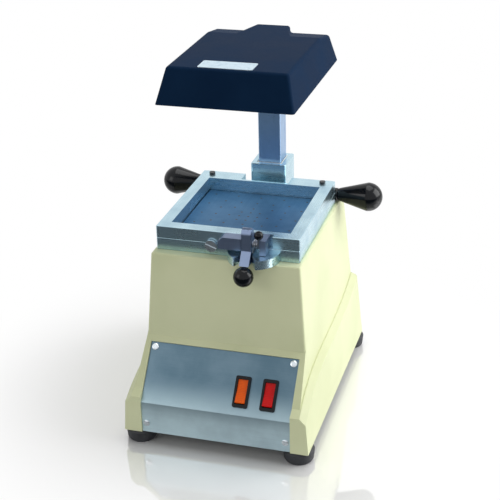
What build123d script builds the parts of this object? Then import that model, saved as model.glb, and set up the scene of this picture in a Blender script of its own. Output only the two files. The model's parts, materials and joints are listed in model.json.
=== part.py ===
from build123d import *
from math import cos, hypot, radians, sin, tan
import os

os.makedirs("parts", exist_ok=True)

# Dental vacuum former, in millimetres. The origin is on the table under the middle of the
# base, +Z is up and the control panel faces -Y. A sheet of plastic is clamped between the two
# square frames, warmed by the swivelling heater head and pulled down over the platform.

# ---- clearances shared by several pieces ----
slit = 0.3              # between neighbouring pieces
running = 0.05          # radial play of a pin, screw or shaft in its bore

# ---- base housing ----
foot_height = 14
foot_radius = 16.5
foot_x = 86
foot_y = 124
base_half_width = 99.5
base_half_length = 139
wall = 4.5
console_low = 50        # height where the upright console front starts to lean back
console_high = 106.4    # height where it meets the tower
console_top_y = -92.7
tower_top = 198.4
tower_half_width = 79   # at the top, like the next two
tower_front = -86.5
tower_rear = 118
side_draft = 0.072      # widening per millimetre of height
skirt_front_z = 56
skirt_middle_z = 82
skirt_rise = 7          # of the ledge line between its guide points
skirt_rear_z = 97
ledge_bevel = 6
corner_radius = 7
edge_radius = 2.2

# ---- bottom plate, feet and vents ----
bottom_sheet = 2
boss_radius = 9
boss_height = 16
thread_depth = 12
foot_screw_radius = 2.5
foot_screw_head = 5
foot_screw_head_height = 2.6
foot_cover = 2          # rubber below the screw head
vent_count = 7
vent_width = 4
vent_length = 46
vent_pitch = 11
vent_z = 118

# ---- control panel and rocker switches ----
panel_half_width = 80
panel_recess = 1.6
panel_sheet = 1.4
panel_top = 65.5        # up the slope from the bend
panel_lap = 9           # of the panel over the edge of the window behind it
panel_screw_inset = 5
panel_screw_z = 25
panel_screw_radius = 2
panel_screw_head = 3.6
panel_screw_dome = 1.3
switch_width = 16.5
switch_length = 33.4
switch_frame = 2.2
switch_body_width = 14
switch_body_length = 28.4
switch_depth = 18
switch_cavity = 11
switch_along = 25       # middle of a switch, up the slope from the bend
switch_places = {"vacuum": 25.6, "heater": 54.6}
terminal_width = 4.8
terminal_sheet = 0.8
terminal_length = 7
rocker_width = 10.2
rocker_length = 24.6
rocker_play = 0.7
rocker_pin = 1.5
rocker_pin_reach = 1.2
rocker_depth = 2        # of the rocker's axle under the panel
rocker_rise = 4.4       # from the axle to the lens ends, and to its middle in the next
rocker_saddle = 3
rocker_keel = 5
rocker_swing = 14

# ---- mains inlet ----
inlet_x = -50
inlet_z = 62
inlet_width = 50
inlet_height = 22.5
inlet_flange = 2.5
inlet_body_width = 27
inlet_body_height = 19
inlet_depth = 20
inlet_wall = 2
inlet_pin_length = 13
inlet_pin_pitch = 7
inlet_screw_x = 20
inlet_screw_radius = 1.5

# ---- post, collar and their fastenings ----
post_half = 12.7
post_wall = 2.5
post_y = 100.6
post_top = 351.6
post_corner = 1.5
flange_half = 22
flange_sheet = 6
spigot_height = 18
plug_depth = 12
machine_screw_radius = 2
machine_screw_head = 3.4
machine_screw_head_height = 2.4
flange_screw_inset = 5
collar_half = 20
collar_lift = 0.8       # of the collar off the tower at its lowest
collar_top = 239
collar_edge = 1
liner_wall = 1.2
friction_screw_radius = 4
friction_screw_head = 6
friction_screw_head_height = 3.5
friction_screw_z = 224
pad_radius = 3.5
pad_length = 3.6

# ---- clamp frames, lift arms and handles ----
frame_half = 76
frame_rear = 84
bar = 12.7
opening_half = 63.3
frame_edge = 0.8
arm_y = 92
arm_z = 206
arm_radius = 5
arm_seat = 5            # of the arm inside the collar wall
lug_radius = 7.2
lug_inner = 49.5
lug_width = 11.5
lug_root = 2
ear_width = 11
side_gap = 0.5          # between the lugs, ears and ferrules along the arms
ferrule_radius = 6.9
ferrule_length = 4.7
handle_narrow = 7
handle_wide = 15.9
handle_cone = 33
handle_dome = 16.8
stud_radius = 3
stud_length = 21
notch_half = 27
notch_web = 3.2
cap_screw_x = 63.5
cap_screw_y = 75
cap_screw_radius = 1.8
cap_screw_head = 3.3
cap_screw_head_height = 2.4
cap_screw_length = 10

# ---- vacuum platform ----
platform_play = 0.8
platform_top = 207
platform_floor = 3
plate_top = 210
plate_sheet = 2
chamber_wall = 4
pillar_radius = 3
pillar_place = 21.25
hole_radius = 0.8
hole_lines = [5, 15, 27.5, 42.5, 57]
port_radius = 11
hose_wall = 2.5

# ---- latch ----
latch_x = 24
lever_width = 10
lever_play = 0.6
pivot_y = -82.3
pivot_radius = 2.5
lever_top = 235
lever_half = 6
lever_rear = -77
lever_bend_z = 212
lever_foot_y = -99.1
lever_foot_z = 199.8
nose_y = -77.8
nose_low = 201.5
nose_high = 202.5
throat_y = -79.8
throat_z = 204.5
heel_y = -79
keeper_bottom = 204.2
keeper_top = 206.4
keeper_depth = 1.4
knob_radius = 10.3
knob_y = -101
knob_z = 189.3
knob_stud_radius = 2.2
knob_stud_lean = 30
knob_stud_length = 17
knob_hole_depth = 4     # past the middle of the ball
tongue_x = 28.5
tongue_radius = 27
tongue_top = 208
gap_start = -88.5       # where the slot starts to flare for the ball
gap_flare = 28
block_left = -6
block_bevel = 5
block_front = 12.6      # of both blocks before the frame
block_right = 37.5
block_right_width = 6.5
block_right_low = 208.5
pocket_right = 48
pocket_depth = 6.5
block_screw_radius = 1.4
block_screw_head = 2.2
block_screw_head_height = 1.6
block_screw_length = 20
block_screw_places = [-2.5, 12, 40.7]
block_screw_z = 214
spring_wire = 0.75
spring_radius = 4.2
spring_turns = 3
spring_low = 30.6
spring_high = 35.9
spring_leg = 8
tip_radius = 4.7
tip_z = 229.5
stop_x = -16.6
stop_z = 208.9
stop_radius = 6.3
stop_head = 3.2
stop_shank = 2
stop_length = 10
stop_slot = 1.2

# ---- heater head ----
hood_half_width = 70.7
hood_top_half_width = 62.1
hood_front = -74.7
hood_top_front = -60.7
hood_top_rear = 70
hood_bevel_y = 106
hood_bevel_drop = 6
hood_rear = 115.5
hood_bottom = 353.6
hood_top = 389.2
hood_wall = 1.6
hood_edge = 3
hump_half = 20
hump_top_half = 17.5
hump_front = 80
hump_top_rear = 113
hump_top = 393
spindle_radius = 8
spindle_top = 383
washer_radius = 12.5
washer_sheet = 1.4
hub_half = 15
hub_front = 86
hub_top = 375
nut_radius = 11
nut_height = 5
pan_half_width = 57
pan_front = -60
pan_rear = 78
pan_bottom = 357
pan_top = 377
pan_sheet = 1.2
pan_rim = 3
pan_corner = 6
board_sheet = 4
element_radius = 3.2
element_pitch = 18
element_runs = 6
element_reach = 46
element_end = 62        # of its two cold ends
element_z = 365
strip_sheet = 3
strip_low = 360.6
strip_spacing = 38
standoff_radius = 3
standoff_x = 45
standoff_y = 52
hood_plate_x = -3
hood_plate_y = -46
hood_plate_length = 56
hood_plate_width = 23
hood_plate_sheet = 0.5

# ---- vacuum motor ----
motor_radius = 46
motor_wall = 3
motor_bottom = 60
motor_top = 150
bracket_half = 50
bracket_depth = 30
bracket_sheet = 3
bracket_foot = 16
bracket_screw_y = 20
shaft_radius = 4
bearing_radius = 9
bearing_height = 6
spider_z = 112
rotor_radius = 20
rotor_low = 76
rotor_height = 30
air_gap = 0.8
fan_radius = 38
fan_sheet = 2
fan_blades = 8
fan_low = 124
fan_height = 14

# ---- values worked out from those above ----
base_bottom = foot_height
floor_top = base_bottom + bottom_sheet
lower_bottom = tower_top + slit
lower_top = lower_bottom + bar
upper_bottom = lower_top + slit
upper_top = upper_bottom + bar
pivot_z = upper_bottom + bar / 2
frame_front = -frame_half
pocket_floor = frame_front + pocket_depth
block_y = frame_front - block_front
lever_left = latch_x - lever_width / 2
lever_right = latch_x + lever_width / 2
platform_half = opening_half - platform_play
plate_bottom = plate_top - plate_sheet
liner_half = post_half + slit
collar_bore = liner_half + liner_wall
collar_bottom = tower_top + collar_lift
ear_inner = lug_inner + lug_width + side_gap
ferrule_inner = ear_inner + ear_width + side_gap
handle_inner = ferrule_inner + ferrule_length
hub_bottom = post_top + washer_sheet + slit
panel_back = panel_recess + panel_sheet
panel_low = base_bottom + slit
rear_lean = (base_half_length - tower_rear) / (tower_top - base_bottom)
slope_y = console_top_y + base_half_length
slope_z = console_high - console_low
slope_length = hypot(slope_y, slope_z)
foot_places = [(x, y) for x in (-foot_x, foot_x) for y in (-foot_y, foot_y)]


def save(part, label):
    # name a finished piece and write it out
    part.label = label
    export_step(part, f"parts/{label}.step")


def screws(planes, shank, length, head, head_height):
    # one screw on each plane, its head above the plane and its shank below
    with BuildPart() as group:
        with Locations(*planes):
            Cylinder(shank, length, align=(Align.CENTER, Align.CENTER, Align.MAX))
            Cylinder(head, head_height, align=(Align.CENTER, Align.CENTER, Align.MIN))
    return group.part


def rods(planes, radius, length):
    # plain round bars below the planes, also to cut bores with
    with BuildPart() as group:
        with Locations(*planes):
            Cylinder(radius, length, align=(Align.CENTER, Align.CENTER, Align.MAX))
    return group.part


def rear_at(height):
    # y of the leaning rear wall at a height
    return tower_rear + rear_lean * (tower_top - height)


def side_at(height):
    # half width of the tower at a height
    return tower_half_width + side_draft * (tower_top - height)


def bend_at(depth):
    # corner between the upright and the leaning console face, a depth under the surface
    return (
        -base_half_length + depth,
        console_low - depth * slope_y / (slope_length + slope_z),
    )


def console_at(along, depth):
    # point up the console slope from the bend, a depth under the surface
    return (
        -base_half_length + (along * slope_y + depth * slope_z) / slope_length,
        console_low + (along * slope_z - depth * slope_y) / slope_length,
    )


def console_plane(x, along, depth):
    # plane on the console slope, its Y up the slope and its Z out of the panel
    y, z = console_at(along, depth)
    return Plane((x, y, z), x_dir=(1, 0, 0), z_dir=(0, -slope_z, slope_y))


def front_plane(x, z, depth):
    # plane on the upright console front, its Z out of the panel
    return Plane((x, -base_half_length + depth, z), x_dir=(1, 0, 0), z_dir=(0, -1, 0))


def rear_plane(x, z, lift=0):
    # plane on the leaning rear wall or a lift above it, its Z away from the wall
    return Plane((x, rear_at(z), z), x_dir=(-1, 0, 0), z_dir=(0, 1, rear_lean)).offset(lift)


# ======== base housing ========

def tower_form(inset):
    # console and tower as one tapered body, every face moved in by the inset
    top = tower_top - inset
    low = base_bottom - min(inset, 1)
    with BuildPart() as form:
        with BuildSketch(Plane.YZ):
            with BuildLine():
                Polyline(
                    (-base_half_length + inset, low),
                    bend_at(inset),
                    console_at(slope_length, inset),
                    (tower_front + inset, top),
                    (rear_at(top) - inset, top),
                    (rear_at(low) - inset, low),
                    close=True,
                )
            make_face()
        extrude(amount=base_half_width, both=True)
        with BuildSketch(Plane.XZ):
            with BuildLine():
                Polyline(
                    (inset - side_at(low), low),
                    (inset - side_at(top), top),
                    (side_at(top) - inset, top),
                    (side_at(low) - inset, low),
                    close=True,
                )
            make_face()
        extrude(amount=base_half_length + 1, both=True, mode=Mode.INTERSECT)
        if not inset:
            upright = form.edges().filter_by(
                lambda edge: abs(edge.center().X) > tower_half_width - 1
                and edge.bounding_box().size.Z > console_low
            )
            fillet(upright.filter_by(lambda edge: edge.center().Y > tower_rear - 1), corner_radius)
            front = upright.filter_by(lambda edge: edge.center().Y < tower_front)
            fillet(front.filter_by(lambda edge: edge.center().Z > console_high), edge_radius)
            fillet(form.faces().sort_by(Axis.Z)[-1].edges(), edge_radius)
    return form.part


def skirt_form(inset):
    # wider skirt around the console and the foot of the tower, with its rising ledge
    low = base_bottom - min(inset, 1)
    rear = rear_at(skirt_rear_z)
    reach = base_half_width - inset
    top_reach = reach - side_draft * (skirt_rear_z - low)
    with BuildPart() as form:
        with BuildSketch(Plane.YZ):
            with BuildLine():
                Polyline(
                    (rear - inset, skirt_rear_z - inset),
                    (rear_at(low) - inset, low),
                    (-base_half_length + inset, low),
                    (-base_half_length + inset, skirt_front_z - inset),
                )
                Spline(
                    (-base_half_length + inset, skirt_front_z - inset),
                    (console_top_y, skirt_middle_z - skirt_rise - inset),
                    (0, skirt_middle_z - inset),
                    (-console_top_y, skirt_middle_z + skirt_rise - inset),
                    (rear - inset, skirt_rear_z - inset),
                )
            make_face()
        extrude(amount=base_half_width, both=True)
        with BuildSketch(Plane.XZ):
            with BuildLine():
                Polyline(
                    (-reach, low),
                    (-top_reach, skirt_rear_z),
                    (top_reach, skirt_rear_z),
                    (reach, low),
                    close=True,
                )
            make_face()
        extrude(amount=base_half_length + 1, both=True, mode=Mode.INTERSECT)
        if not inset:
            rear_edges = form.edges().filter_by(
                lambda edge: edge.center().Y > rear and edge.bounding_box().size.Z > console_low
            )
            fillet(rear_edges, corner_radius)
            ridges = form.edges().filter_by(
                lambda edge: edge.bounding_box().size.Y > base_half_length
                and edge.center().Z > console_low
            )
            chamfer(ridges, ledge_bevel)
    return form.part


def panel_strip(shallow, deep, top_along, low_end, half_width):
    # bent strip of the given half width, between two depths under the console face
    with BuildPart() as strip:
        with BuildSketch(Plane.YZ):
            with BuildLine():
                Polyline(
                    (-base_half_length + shallow, low_end),
                    bend_at(shallow),
                    console_at(top_along, shallow),
                    console_at(top_along, deep),
                    bend_at(deep),
                    (-base_half_length + deep, low_end),
                    close=True,
                )
            make_face()
        extrude(amount=half_width, both=True)
    return strip.part


panel_screw_x = panel_half_width - panel_screw_inset
panel_screw_planes = [
    plane
    for x in (-panel_screw_x, panel_screw_x)
    for plane in (
        console_plane(x, panel_top - panel_screw_inset, panel_recess),
        front_plane(x, panel_screw_z, panel_recess),
    )
]
foot_screw_z = foot_cover + foot_screw_head_height
foot_screw_length = floor_top + thread_depth - foot_screw_z
foot_screw_planes = [Plane((x, y, foot_screw_z), z_dir=(0, 0, -1)) for x, y in foot_places]
flange_top = floor_top + flange_sheet
flange_screw_place = flange_half - flange_screw_inset
flange_screw_planes = [
    Plane((x, post_y + y, flange_top))
    for x in (-flange_screw_place, flange_screw_place)
    for y in (-flange_screw_place, flange_screw_place)
]
bracket_screw_x = bracket_half + bracket_foot / 2
bracket_screw_planes = [
    Plane((x, y, floor_top + bracket_sheet))
    for x in (-bracket_screw_x, bracket_screw_x)
    for y in (-bracket_screw_y, bracket_screw_y)
]
inlet_screw_planes = [
    rear_plane(inlet_x + x, inlet_z, inlet_flange) for x in (-inlet_screw_x, inlet_screw_x)
]

with BuildPart() as outside:
    add(tower_form(0))
    add(skirt_form(0))

with BuildPart() as bosses:
    # round foot bosses with webs to the side and end walls
    with BuildSketch(Plane.XY.offset(floor_top)):
        for x, y in foot_places:
            with Locations((x, y)):
                Circle(boss_radius)
            with Locations((x + (base_half_width - foot_x) * x / foot_x / 2, y)):
                Rectangle(base_half_width - foot_x, boss_radius)
            with Locations((x, y + (base_half_length - foot_y) * y / foot_y / 2)):
                Rectangle(boss_radius, base_half_length - foot_y)
    extrude(amount=boss_height)
    add(outside.part, mode=Mode.INTERSECT)

with BuildPart() as housing:
    add(outside.part)
    add(tower_form(wall), mode=Mode.SUBTRACT)
    add(skirt_form(wall), mode=Mode.SUBTRACT)
    add(bosses.part)
    # seat of the bent panel, and the window behind it
    seat = panel_strip(-wall, panel_back, panel_top + slit, 0, panel_half_width + slit)
    add(seat, mode=Mode.SUBTRACT)
    window_low = base_bottom + 2 * panel_lap
    window_half = panel_half_width - panel_lap
    window = panel_strip(0, 2 * wall, panel_top - panel_lap, window_low, window_half)
    add(window, mode=Mode.SUBTRACT)
    # screw holes
    add(rods(panel_screw_planes, panel_screw_radius + running, 3 * wall), mode=Mode.SUBTRACT)
    add(rods(foot_screw_planes, foot_screw_radius + running, foot_screw_length + 1), mode=Mode.SUBTRACT)
    add(rods(inlet_screw_planes, inlet_screw_radius + running, 3 * wall), mode=Mode.SUBTRACT)
    # square hole for the post and round port for the vacuum hose
    with BuildSketch(Plane.XY.offset(tower_top)):
        with Locations((0, post_y)):
            Rectangle(2 * (post_half + slit), 2 * (post_half + slit))
        Circle(port_radius + hose_wall + slit)
    extrude(amount=-2 * wall, mode=Mode.SUBTRACT)
    # upright vents and the mains inlet in the rear wall
    with BuildSketch(rear_plane(0, vent_z)):
        with GridLocations(vent_pitch, 1, vent_count, 1):
            SlotOverall(vent_length, vent_width, rotation=90)
    extrude(amount=-2 * wall, mode=Mode.SUBTRACT)
    with BuildSketch(rear_plane(inlet_x, inlet_z)):
        Rectangle(inlet_body_width + 2 * slit, inlet_body_height + 2 * slit)
    extrude(amount=-2 * wall, mode=Mode.SUBTRACT)
save(housing.part, "housing_shell")

with BuildPart() as bottom_plate:
    side = base_half_width - wall - slit - side_draft * (bottom_sheet + 1)
    end = rear_at(floor_top) - wall - slit
    with BuildSketch(Plane.XY.offset(base_bottom)):
        RectangleRounded(2 * side, 2 * end, edge_radius)
        with Locations((0, -foot_y / 2)):
            with GridLocations(vent_pitch, 1, vent_count, 1):
                SlotOverall(vent_length, vent_width, rotation=90, mode=Mode.SUBTRACT)
    extrude(amount=bottom_sheet)
    add(rods(foot_screw_planes, foot_screw_radius + running, foot_screw_length), mode=Mode.SUBTRACT)
    plate_screw_planes = flange_screw_planes + bracket_screw_planes
    plate_holes = rods(plate_screw_planes, machine_screw_radius + running, 2 * flange_sheet)
    add(plate_holes, mode=Mode.SUBTRACT)
save(bottom_plate.part, "bottom_plate")

with BuildPart() as foot:
    with BuildSketch(Plane.XZ):
        with BuildLine():
            Polyline(
                (foot_screw_radius + running, foot_height),
                (foot_radius - edge_radius, foot_height),
                (foot_radius, foot_height - edge_radius),
                (foot_radius - 1, edge_radius),
                (foot_radius - edge_radius, 0),
                (foot_screw_head + running, 0),
                (foot_screw_head + running, foot_screw_z),
                (foot_screw_radius + running, foot_screw_z),
                close=True,
            )
        make_face()
    revolve(axis=Axis.Z)

with BuildPart() as rubber_feet:
    with Locations(*[(x, y, 0) for x, y in foot_places]):
        add(foot.part)
save(rubber_feet.part, "rubber_feet")

foot_screws = screws(
    foot_screw_planes, foot_screw_radius, foot_screw_length, foot_screw_head, foot_screw_head_height
)
save(foot_screws, "foot_screws")

# ======== control panel and switches ========

with BuildPart() as panel:
    add(panel_strip(panel_recess, panel_back, panel_top, panel_low, panel_half_width))
    bends = panel.edges().filter_by(Axis.X).filter_by(
        lambda edge: abs(edge.center().Z - console_low) < wall
    )
    fillet(bends.sort_by(Axis.Y)[0], panel_sheet)
    add(rods(panel_screw_planes, panel_screw_radius + running, 2 * wall), mode=Mode.SUBTRACT)
    for x in switch_places.values():
        with BuildSketch(console_plane(x, switch_along, panel_recess)):
            Rectangle(switch_body_width, switch_body_length)
        extrude(amount=-wall, mode=Mode.SUBTRACT)
save(panel.part, "control_panel")

with BuildPart() as panel_screws:
    add(screws(panel_screw_planes, panel_screw_radius, 2 * panel_back, panel_screw_head, panel_screw_dome))
    for plane in panel_screw_planes:
        rims = panel_screws.edges().filter_by(GeomType.CIRCLE).filter_by(
            lambda edge: edge.radius > panel_screw_radius
            and abs(plane.to_local_coords(edge.arc_center).Z - panel_screw_dome) < running
        )
        chamfer(rims, panel_screw_dome / 2)
save(panel_screws.part, "panel_screws")

for name, x in switch_places.items():
    face = console_plane(x, switch_along, panel_recess)
    axle = console_plane(x, switch_along, panel_recess + rocker_depth)
    across = Plane(axle.origin, x_dir=axle.y_dir, z_dir=(1, 0, 0))
    tilted = Plane(axle.origin, x_dir=axle.y_dir.rotate(Axis.X, -rocker_swing / 2), z_dir=(1, 0, 0))
    with BuildPart() as switch:
        # bezel on the panel, and the body through it with three terminals
        with BuildSketch(face):
            RectangleRounded(switch_width, switch_length, edge_radius)
        extrude(amount=switch_frame, taper=10)
        with BuildSketch(face):
            Rectangle(switch_body_width - 2 * slit, switch_body_length - 2 * slit)
        extrude(amount=-switch_depth)
        with BuildSketch(face.offset(-switch_depth)):
            with GridLocations(1, switch_body_length / 4, 1, 3):
                Rectangle(terminal_width, terminal_sheet)
        extrude(amount=-terminal_length)
        with BuildSketch(face.offset(switch_frame)):
            Rectangle(rocker_width + 2 * slit, rocker_length + 2 * rocker_play)
        extrude(amount=-switch_frame - switch_cavity, mode=Mode.SUBTRACT)
        with BuildSketch(across):
            Circle(rocker_pin + running)
        pin_bore = rocker_width / 2 + rocker_pin_reach + running
        extrude(amount=pin_bore, both=True, mode=Mode.SUBTRACT)
    save(switch.part, f"{name}_switch")

    half = rocker_length / 2
    with BuildPart() as rocker:
        with BuildSketch(tilted):
            with BuildLine():
                Polyline(
                    (-half, rocker_pin),
                    (-half, rocker_rise),
                    (0, rocker_saddle),
                    (half, rocker_rise),
                    (half, rocker_pin),
                    (half / 2, -rocker_keel),
                    (-half / 2, -rocker_keel),
                    close=True,
                )
            make_face()
        extrude(amount=rocker_width / 2, both=True)
        with BuildSketch(across):
            Circle(rocker_pin)
        extrude(amount=rocker_width / 2 + rocker_pin_reach, both=True)
    save(rocker.part, f"{name}_rocker")

# ======== mains inlet ========

with BuildPart() as mains_inlet:
    with BuildSketch(rear_plane(inlet_x, inlet_z)):
        RectangleRounded(inlet_width, inlet_height, 2 * edge_radius)
    extrude(amount=inlet_flange)
    with BuildSketch(rear_plane(inlet_x, inlet_z)):
        Rectangle(inlet_body_width, inlet_body_height)
    extrude(amount=-inlet_depth)
    # six-sided socket with its three flat pins
    with BuildSketch(rear_plane(inlet_x, inlet_z, inlet_flange)) as socket:
        Rectangle(inlet_body_width - 2 * inlet_wall, inlet_body_height - 2 * inlet_wall)
        chamfer(socket.vertices().group_by(Axis.Z)[-1], 2 * inlet_wall)
    extrude(amount=-inlet_depth, mode=Mode.SUBTRACT)
    with BuildSketch(rear_plane(inlet_x, inlet_z, inlet_flange - inlet_depth)):
        pin_places = [(-inlet_pin_pitch, -inlet_wall), (inlet_pin_pitch, -inlet_wall), (0, inlet_wall)]
        with Locations(*pin_places):
            Rectangle(inlet_wall, 2 * inlet_wall)
    extrude(amount=inlet_pin_length)
    add(rods(inlet_screw_planes, inlet_screw_radius + running, 2 * inlet_flange), mode=Mode.SUBTRACT)
save(mains_inlet.part, "mains_inlet")

inlet_screws = screws(
    inlet_screw_planes,
    inlet_screw_radius,
    inlet_flange + wall + 1,
    2 * inlet_screw_radius,
    inlet_screw_radius,
)
save(inlet_screws, "inlet_screws")

# ======== post ========

def square_tube(half, inner, low, high, corner):
    # square tube around the post's middle line
    with BuildPart() as tube:
        with BuildSketch(Plane((0, post_y, low))):
            RectangleRounded(2 * half, 2 * half, corner)
            Rectangle(2 * inner, 2 * inner, mode=Mode.SUBTRACT)
        extrude(amount=high - low)
    return tube.part


plug_half = post_half - post_wall - running
post = square_tube(post_half, post_half - post_wall, flange_top, post_top, post_corner)
save(post, "post")

with BuildPart() as post_foot:
    with BuildSketch(Plane((0, post_y, floor_top))):
        RectangleRounded(2 * flange_half, 2 * flange_half, corner_radius)
    extrude(amount=flange_sheet)
    with BuildSketch(Plane((0, post_y, flange_top))):
        Rectangle(2 * plug_half, 2 * plug_half)
    extrude(amount=spigot_height)
    chamfer(post_foot.faces().sort_by(Axis.Z)[-1].edges(), edge_radius)
    add(rods(flange_screw_planes, machine_screw_radius + running, 2 * flange_sheet), mode=Mode.SUBTRACT)
save(post_foot.part, "post_foot")

post_screws = screws(
    flange_screw_planes,
    machine_screw_radius,
    flange_sheet + bottom_sheet,
    machine_screw_head,
    machine_screw_head_height,
)
save(post_screws, "post_screws")

with BuildPart() as post_cap:
    with BuildSketch(Plane((0, post_y, post_top - plug_depth))):
        Rectangle(2 * plug_half, 2 * plug_half)
    extrude(amount=plug_depth)
    with BuildSketch(Plane((0, post_y, post_top))):
        Circle(spindle_radius)
    extrude(amount=spindle_top - post_top)
    chamfer(post_cap.faces().sort_by(Axis.Z)[-1].edges(), 1)
save(post_cap.part, "post_cap")

with BuildPart() as thrust_washer:
    with BuildSketch(Plane((0, post_y, post_top))):
        Circle(washer_radius)
        Circle(spindle_radius + running, mode=Mode.SUBTRACT)
    extrude(amount=washer_sheet)
save(thrust_washer.part, "thrust_washer")

with BuildPart() as swivel_nut:
    with BuildSketch(Plane((0, post_y, hub_top + slit))):
        RegularPolygon(nut_radius, 6)
        Circle(spindle_radius + running, mode=Mode.SUBTRACT)
    extrude(amount=nut_height)
save(swivel_nut.part, "swivel_nut")

# ======== collar, lift arms and handles ========

arm_planes = [Plane((side * handle_inner, arm_y, arm_z), z_dir=(side, 0, 0)) for side in (-1, 1)]
arm_length = handle_inner - collar_half + arm_seat
friction_plane = Plane((0, post_y + collar_half, friction_screw_z), z_dir=(0, 1, 0))

with BuildPart() as slide_collar:
    add(square_tube(collar_half, collar_bore, collar_bottom, collar_top, edge_radius))
    chamfer(slide_collar.faces().sort_by(Axis.Z)[-1].edges(), collar_edge / 2)
    add(rods(arm_planes, arm_radius + running, arm_length), mode=Mode.SUBTRACT)
    add(rods([friction_plane], friction_screw_radius + running, 2 * wall), mode=Mode.SUBTRACT)
save(slide_collar.part, "slide_collar")

with BuildPart() as collar_liner:
    add(square_tube(collar_bore, liner_half, collar_bottom, collar_top, liner_wall / 4))
    add(rods([friction_plane], pad_radius + running, 2 * wall), mode=Mode.SUBTRACT)
save(collar_liner.part, "collar_liner")

pad_rear = post_y + post_half + running + pad_length
save(rods([Plane((0, pad_rear, friction_screw_z), z_dir=(0, 1, 0))], pad_radius, pad_length), "friction_pad")

friction_screw = screws(
    [friction_plane],
    friction_screw_radius,
    post_y + collar_half - pad_rear,
    friction_screw_head,
    friction_screw_head_height,
)
save(friction_screw, "friction_screw")

with BuildPart() as lift_arms:
    add(rods(arm_planes, arm_radius, arm_length))
    with Locations(*arm_planes):
        Cylinder(stud_radius, stud_length, align=(Align.CENTER, Align.CENTER, Align.MIN))
save(lift_arms.part, "lift_arms")

with BuildPart() as handle_ferrules:
    add(rods(arm_planes, ferrule_radius, ferrule_length))
    chamfer(handle_ferrules.edges().filter_by(GeomType.CIRCLE), frame_edge)
    add(rods(arm_planes, arm_radius + running, handle_inner - collar_half), mode=Mode.SUBTRACT)
save(handle_ferrules.part, "handle_ferrules")

ridge = handle_inner + handle_cone
stud_end = handle_inner + stud_length + 1
dome_middle = (handle_dome**2 - handle_wide**2) / (2 * handle_dome)     # beyond the ridge
dome_radius = handle_dome - dome_middle
for side, label in ((-1, "handle_left"), (1, "handle_right")):
    with BuildPart() as handle:
        with BuildSketch(Plane((0, arm_y, arm_z), x_dir=(side, 0, 0), z_dir=(0, -side, 0))):
            with BuildLine():
                Polyline(
                    (stud_end, 0),
                    (stud_end, stud_radius + running),
                    (handle_inner, stud_radius + running),
                    (handle_inner, handle_narrow - 1),
                    (handle_inner + 1, handle_narrow),
                    (ridge, handle_wide),
                )
                ThreePointArc(
                    (ridge, handle_wide),
                    (ridge + dome_middle + dome_radius * sin(radians(45)), dome_radius * cos(radians(45))),
                    (ridge + handle_dome, 0),
                )
                Line((ridge + handle_dome, 0), (stud_end, 0))
            make_face()
        revolve(axis=Axis((0, arm_y, arm_z), (1, 0, 0)))
    save(handle.part, label)

# ======== clamp frames ========

block_screw_planes = [
    Plane((x, -opening_half - block_screw_head_height, block_screw_z), z_dir=(0, 1, 0))
    for x in block_screw_places
]
stop_plane = Plane((stop_x, frame_front, stop_z), x_dir=(1, 0, 0), z_dir=(0, -1, 0))
cap_screw_planes = [Plane((x, cap_screw_y, upper_top)) for x in (-cap_screw_x, cap_screw_x)]
root_y = frame_rear - lug_root


def clamp_frame(bottom):
    # square-section frame with broken outer corners, wider at the rear
    with BuildPart() as frame:
        with BuildSketch(Plane((0, (frame_rear - frame_half) / 2, bottom))):
            Rectangle(2 * frame_half, frame_rear + frame_half)
        extrude(amount=bar)
        chamfer(frame.edges().filter_by(Axis.Z), frame_edge)
        chamfer(frame.faces().sort_by(Axis.Z)[-1].edges(), frame_edge / 2)
        with BuildSketch(Plane.XY.offset(bottom)):
            Rectangle(2 * opening_half, 2 * opening_half)
        extrude(amount=bar, mode=Mode.SUBTRACT)
    return frame.part


def swivel_lugs(inner, width, outline):
    # a pair of round-nosed lugs on the lift arms, with the given root outline
    with BuildPart() as lugs:
        for side in (-1, 1):
            middle = side * (inner + width / 2)
            with BuildSketch(Plane((middle, 0, 0), x_dir=(0, 1, 0), z_dir=(1, 0, 0))):
                with BuildLine():
                    Polyline(*outline, close=True)
                make_face()
                with Locations((arm_y, arm_z)):
                    Circle(lug_radius)
                    Circle(arm_radius + running, mode=Mode.SUBTRACT)
            extrude(amount=width / 2, both=True)
    return lugs.part


with BuildPart() as tongue:
    # half-round lip with a slot for the lever and clearance for the swinging ball
    with BuildSketch(Plane.XY.offset(lower_bottom)):
        with Locations((tongue_x, frame_front)):
            Circle(tongue_radius)
        with Locations((tongue_x, frame_front + tongue_radius / 2)):
            Rectangle(2 * tongue_radius, tongue_radius, mode=Mode.SUBTRACT)
        with Locations((latch_x, frame_front - tongue_radius / 2)):
            Rectangle(lever_width + 2 * lever_play, tongue_radius + 1, mode=Mode.SUBTRACT)
        slot_half = lever_width / 2 + lever_play
        mouth_half = slot_half + tongue_radius * tan(radians(gap_flare))
        with BuildLine():
            Polyline(
                (latch_x - slot_half, gap_start),
                (latch_x + slot_half, gap_start),
                (latch_x + mouth_half, gap_start - tongue_radius),
                (latch_x - mouth_half, gap_start - tongue_radius),
                close=True,
            )
        make_face(mode=Mode.SUBTRACT)
    extrude(amount=tongue_top - lower_bottom)
    ball_swing = hypot(knob_y - pivot_y, knob_z - pivot_z)
    with Locations(Plane((latch_x, pivot_y, pivot_z), z_dir=(1, 0, 0))):
        Torus(ball_swing, knob_radius + lever_play, mode=Mode.SUBTRACT)

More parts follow.
